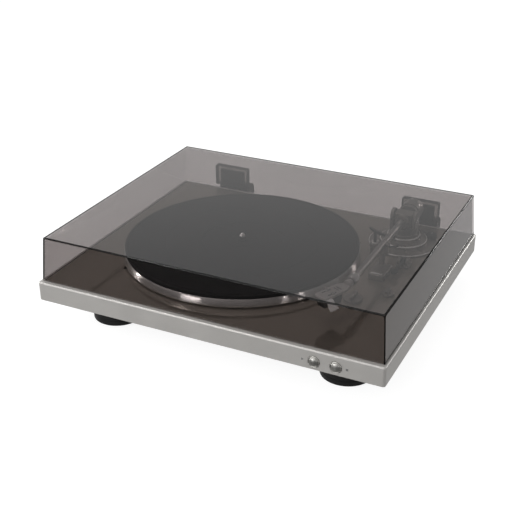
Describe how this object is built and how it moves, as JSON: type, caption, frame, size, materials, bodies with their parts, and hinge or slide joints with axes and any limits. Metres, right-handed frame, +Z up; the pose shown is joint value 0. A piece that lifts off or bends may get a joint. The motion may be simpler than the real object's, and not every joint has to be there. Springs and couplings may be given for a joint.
{
  "type": "belt-drive record player",
  "caption": "Automatic belt-drive record player with a low metal plinth, platter with mat, straight tonearm with offset headshell, round feet and a hinged smoked cover.",
  "frame": {"origin": "centre of the bounding box at the floor, between the feet", "axes": "+X to the right along the plinth, +Y to the rear where the cover is hinged, +Z up"},
  "size_m": [0.434, 0.3808, 0.1179],
  "materials": {
    "silver_paint": "satin",
    "taupe_deck": "semi-gloss metallic",
    "black_plastic": "fine grain",
    "grey_plastic": "satin",
    "rubber": "matt",
    "polished_aluminium": "polished",
    "steel": "satin",
    "zinc": "plated",
    "brass": "turned",
    "nylon": "moulded",
    "board_green": "circuit board",
    "smoked_acrylic": "clear smoked"
  },
  "bodies": {
    "plinth": {"plinth_frame": "silver_paint", "deck_plate": "taupe_deck", "base_pan": "black_plastic", "foot_front_left": "black_plastic", "foot_front_right": "black_plastic", "foot_rear_left": "black_plastic", "foot_rear_right": "black_plastic", "foot_pad_front_left": "rubber", "foot_pad_front_right": "rubber", "foot_pad_rear_left": "rubber", "foot_pad_rear_right": "rubber", "bearing_housing": "zinc", "motor": "steel", "motor_plate": "zinc", "drive_belt": "rubber", "cam_gear": "nylon", "arm_drive_lever": "zinc", "amplifier_board": "board_green", "power_transformer": "zinc", "rear_panel": "black_plastic", "signal_jack_left": "zinc", "signal_jack_right": "zinc", "ground_terminal": "zinc", "mains_gland": "rubber", "start_switch": "black_plastic", "stop_switch": "black_plastic", "arm_base": "taupe_deck", "arm_rest": "grey_plastic", "lift_sleeve": "zinc", "cue_lever_base": "grey_plastic", "hinge_base_left": "black_plastic", "hinge_base_right": "black_plastic", "hinge_pin_left": "steel", "hinge_pin_right": "steel"},
    "cover": {"dust_cover": "smoked_acrylic", "hinge_leaf_left": "black_plastic", "hinge_leaf_right": "black_plastic"},
    "turntable": {"platter": "polished_aluminium", "platter_mat": "rubber", "spindle": "steel", "hub_pinion": "nylon"},
    "pulley": {"motor_pulley": "brass"},
    "arm_carrier": {"arm_yoke": "grey_plastic"},
    "arm": {"arm_tube": "polished_aluminium", "headshell": "silver_paint", "finger_lift": "steel", "cartridge": "black_plastic", "stylus": "black_plastic"},
    "locking_collar": {"arm_collar": "polished_aluminium"},
    "weight_carrier": {"weight_bush": "brass"},
    "weight": {"counterweight": "silver_paint"},
    "force_dial": {"tracking_dial": "black_plastic"},
    "lift": {"lift_bar": "black_plastic"},
    "cue": {"cue_lever": "black_plastic"},
    "clip": {"arm_clip": "black_plastic"},
    "anti_skate": {"anti_skate_dial": "black_plastic"},
    "speed_selector": {"speed_knob": "grey_plastic"},
    "size_selector": {"size_knob": "grey_plastic"},
    "start": {"start_button": "polished_aluminium"},
    "stop": {"stop_button": "polished_aluminium"}
  },
  "joints": [
    {"name": "cover_hinge", "type": "hinge", "parent": "plinth", "child": "cover", "pos_m": [0, 0.17875, 0.0567], "axis": [-1, 0, 0], "range_deg": [0, 62]},
    {"name": "platter_turn", "type": "hinge", "parent": "plinth", "child": "turntable", "pos_m": [-0.036, -0.00825, 0.0732], "axis": [0, 0, 1], "continuous": true},
    {"name": "pulley_turn", "type": "hinge", "parent": "plinth", "child": "pulley", "pos_m": [-0.1226, 0.04175, 0.0657], "axis": [0, 0, 1], "continuous": true},
    {"name": "arm_swing", "type": "hinge", "parent": "plinth", "child": "arm_carrier", "pos_m": [0.1395, 0.09835, 0.0967], "axis": [0, 0, -1], "range_deg": [0, 41]},
    {"name": "arm_lift", "type": "hinge", "parent": "arm_carrier", "child": "arm", "pos_m": [0.1395, 0.09835, 0.0967], "axis": [-1, 0, 0], "range_deg": [0, 3.4]},
    {"name": "cue_turn", "type": "hinge", "parent": "plinth", "child": "cue", "pos_m": [0.16, 0.03775, 0.0697], "axis": [-1, 0, 0], "range_deg": [0, 40.1]},
    {"name": "lift_rise", "type": "slide", "parent": "plinth", "child": "lift", "axis": [0, 0, 1], "range_m": [0, 0.0028]},
    {"name": "collar_turn", "type": "hinge", "parent": "arm", "child": "locking_collar", "pos_m": [0.1395, -0.08225, 0.0967], "axis": [0, 1, 0], "range_deg": [0, 35]},
    {"name": "weight_slide", "type": "slide", "parent": "arm", "child": "weight_carrier", "axis": [0, 1, 0], "range_m": [-0.0046, 0.0021]},
    {"name": "counterweight_turn", "type": "hinge", "parent": "weight_carrier", "child": "weight", "pos_m": [0.1395, 0.12835, 0.0967], "axis": [0, 1, 0], "range_deg": [-810, 360]},
    {"name": "force_dial_turn", "type": "hinge", "parent": "weight", "child": "force_dial", "pos_m": [0.1395, 0.11375, 0.0967], "axis": [0, 1, 0], "range_deg": [0, 340]},
    {"name": "anti_skate_turn", "type": "hinge", "parent": "plinth", "child": "anti_skate", "pos_m": [0.169, 0.12125, 0.0687], "axis": [0, 0, 1], "range_deg": [0, 270]},
    {"name": "speed_turn", "type": "hinge", "parent": "plinth", "child": "speed_selector", "pos_m": [0.135, -0.06825, 0.0667], "axis": [0, 0, 1], "range_deg": [0, 40]},
    {"name": "size_turn", "type": "hinge", "parent": "plinth", "child": "size_selector", "pos_m": [0.167, -0.04025, 0.0667], "axis": [0, 0, 1], "range_deg": [0, 40]},
    {"name": "clip_turn", "type": "hinge", "parent": "plinth", "child": "clip", "pos_m": [0.1463, 0.01275, 0.0991], "axis": [0, -1, 0], "range_deg": [0, 165]},
    {"name": "start_press", "type": "slide", "parent": "plinth", "child": "start", "axis": [0, 1, 0], "range_m": [0, 0.002], "stiffness_N_per_m": 200},
    {"name": "stop_press", "type": "slide", "parent": "plinth", "child": "stop", "axis": [0, 1, 0], "range_m": [0, 0.002], "stiffness_N_per_m": 200}
  ],
  "couplings": [
    {"joint": "pulley_turn", "follows": "platter_turn", "ratio": 12},
    {"joint": "cue_turn", "follows": "arm_lift", "ratio": 11.76},
    {"joint": "lift_rise", "follows": "arm_lift", "m_per_rad": 0.0469},
    {"joint": "weight_slide", "follows": "counterweight_turn", "m_per_rad": 0.00031831}
  ]
}
